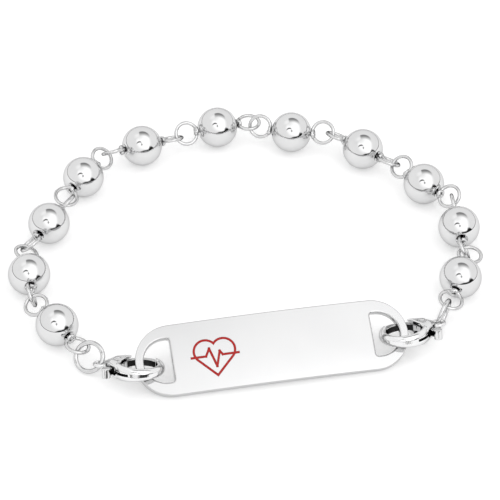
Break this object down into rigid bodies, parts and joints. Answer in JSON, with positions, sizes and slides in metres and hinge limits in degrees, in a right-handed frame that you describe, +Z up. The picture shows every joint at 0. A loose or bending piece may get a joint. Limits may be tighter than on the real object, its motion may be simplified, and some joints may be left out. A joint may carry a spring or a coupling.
{
  "type": "medical alert bracelet",
  "caption": "Steel bead chain bracelet with an oval-ended plate, a red enamel emblem and lobster clasps through slots at both of the plate's ends.",
  "frame": {"origin": "middle of the bounding box seen from above, on the surface that the bracelet lies on", "axes": "+X along the loop's long way towards the right clasp, +Y from the plate to the middle of the bead chain, +Z up from the surface"},
  "size_m": [0.0673, 0.0601, 0.0069],
  "materials": {
    "plate": "polished stainless steel",
    "enamel": "glossy red enamel",
    "bead": "mirror polished stainless steel",
    "wire": "bright drawn stainless wire",
    "jump_ring": "bright drawn stainless wire",
    "clasp": "tumble polished stainless casting",
    "lever": "polished stainless stamping",
    "rivet": "flush headed stainless pin"
  },
  "bodies": {
    "root": {"id_plate": "plate", "enamel_emblem": "enamel", "bead_01": "bead", "bead_02": "bead", "bead_03": "bead", "bead_04": "bead", "bead_05": "bead", "bead_06": "bead", "bead_07": "bead", "bead_08": "bead", "bead_09": "bead", "bead_10": "bead", "bead_11": "bead", "bead_wire_01": "wire", "bead_wire_02": "wire", "bead_wire_03": "wire", "bead_wire_04": "wire", "bead_wire_05": "wire", "bead_wire_06": "wire", "bead_wire_07": "wire", "bead_wire_08": "wire", "bead_wire_09": "wire", "bead_wire_10": "wire", "bead_wire_11": "wire", "left_jump_ring": "jump_ring", "left_clasp_body": "clasp", "left_clasp_rivet": "rivet", "right_jump_ring": "jump_ring", "right_clasp_body": "clasp", "right_clasp_rivet": "rivet"},
    "left_lever": {"left_clasp_lever": "lever"},
    "right_lever": {"right_clasp_lever": "lever"}
  },
  "joints": [
    {"name": "left_lever_hinge", "type": "hinge", "parent": "root", "child": "left_lever", "pos_m": [-0.0175, -0.02497, 0.00207], "axis": [0.0161, -0.4074, -0.9131], "range_deg": [0, 18], "stiffness_Nm_per_rad": 0.00005, "springref_deg": -17.19},
    {"name": "right_lever_hinge", "type": "hinge", "parent": "root", "child": "right_lever", "pos_m": [0.02446, -0.01739, 0.00228], "axis": [-0.0841, 0.3507, 0.9327], "range_deg": [0, 18], "stiffness_Nm_per_rad": 0.00005, "springref_deg": -17.19}
  ]
}
